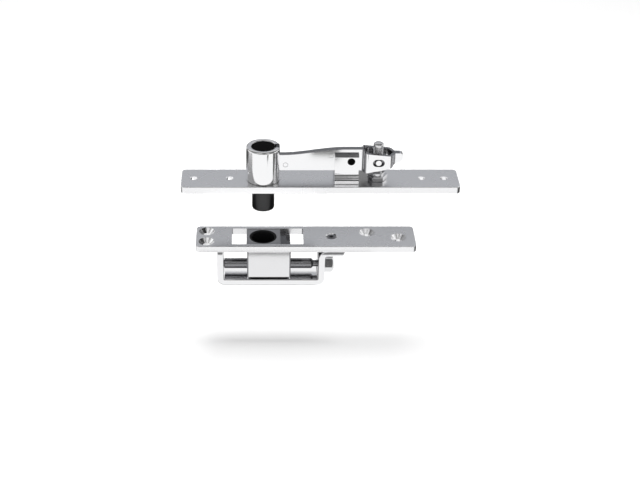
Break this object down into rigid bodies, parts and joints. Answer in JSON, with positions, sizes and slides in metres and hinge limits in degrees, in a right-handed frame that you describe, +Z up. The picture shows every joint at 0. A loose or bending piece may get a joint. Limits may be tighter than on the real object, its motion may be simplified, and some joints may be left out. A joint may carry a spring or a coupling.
{
  "type": "door top pivot",
  "caption": "Top pivot for a swing door: header plate with a guided pin raised by a screw-driven lever, and door plate with an adjustable bearing block in a strap cradle.",
  "frame": {"origin": "on the pivot axis, in the plane of the frame plate's underside, which is flush with the underside of the header", "axes": "+Z up along the pivot axis, +X along the plates from the pivot towards the adjusting screw, +Y to the back"},
  "size_m": [0.2216, 0.0336, 0.1242],
  "materials": {
    "polished_steel": "polished plated steel",
    "satin_steel": "satin plated steel",
    "plated_steel": "plated turned steel",
    "black_steel": "black oxide steel",
    "black_plastic": "black bearing plastic"
  },
  "bodies": {
    "frame_unit": {"frame_plate": "polished_steel", "pin_sleeve": "polished_steel", "fulcrum_bracket_front": "polished_steel", "fulcrum_bracket_rear": "polished_steel", "fulcrum_pin": "black_steel", "screw_collar": "plated_steel"},
    "pin": {"pivot_pin": "black_steel", "pivot_cross_pin": "plated_steel"},
    "lever": {"lever_sheet_front": "polished_steel", "lever_sheet_rear": "polished_steel", "lever_rivet_near": "plated_steel", "lever_rivet_middle": "plated_steel"},
    "trunnion": {"trunnion_nut": "plated_steel"},
    "screw": {"adjusting_screw": "plated_steel", "screw_retaining_ring": "plated_steel"},
    "bush": {"bearing_bush": "black_plastic"},
    "block": {"bearing_block": "satin_steel"},
    "door_unit": {"door_plate": "polished_steel", "strap": "satin_steel", "strap_screw": "plated_steel"},
    "adjuster": {"spindle": "plated_steel", "spindle_head": "plated_steel"}
  },
  "joints": [
    {"name": "lever_tilt", "type": "hinge", "parent": "frame_unit", "child": "lever", "pos_m": [0.0695, 0, 0.0238], "axis": [0, 1, 0], "range_deg": [0, 15]},
    {"name": "pin_slide", "type": "slide", "parent": "frame_unit", "child": "pin", "axis": [0, 0, 1], "range_m": [0, 0.01845]},
    {"name": "trunnion_slide", "type": "slide", "parent": "frame_unit", "child": "trunnion", "axis": [0, 0, 1], "range_m": [-0.00578, 0]},
    {"name": "screw_turn", "type": "hinge", "parent": "frame_unit", "child": "screw", "pos_m": [0.091, 0, 0], "axis": [0, 0, 1], "range_deg": [0, 1662]},
    {"name": "door_lift", "type": "slide", "parent": "frame_unit", "child": "bush", "axis": [0, 0, 1], "range_m": [0, 0.0437]},
    {"name": "door_swing", "type": "hinge", "parent": "bush", "child": "block", "pos_m": [0, 0, -0.0477], "axis": [0, 0, 1], "range_deg": [-120, 120]},
    {"name": "block_adjust", "type": "slide", "parent": "block", "child": "door_unit", "axis": [1, 0, 0], "range_m": [-0.01, 0.01]},
    {"name": "spindle_turn", "type": "hinge", "parent": "door_unit", "child": "adjuster", "pos_m": [0, 0, -0.0733], "axis": [1, 0, 0], "range_deg": [-2881, 2881]}
  ],
  "couplings": [
    {"joint": "pin_slide", "follows": "lever_tilt", "m_per_rad": 0.07044},
    {"joint": "trunnion_slide", "follows": "lever_tilt", "m_per_rad": -0.02204},
    {"joint": "screw_turn", "follows": "lever_tilt", "ratio": 110.78},
    {"joint": "spindle_turn", "follows": "block_adjust", "rad_per_m": 5026.6}
  ]
}
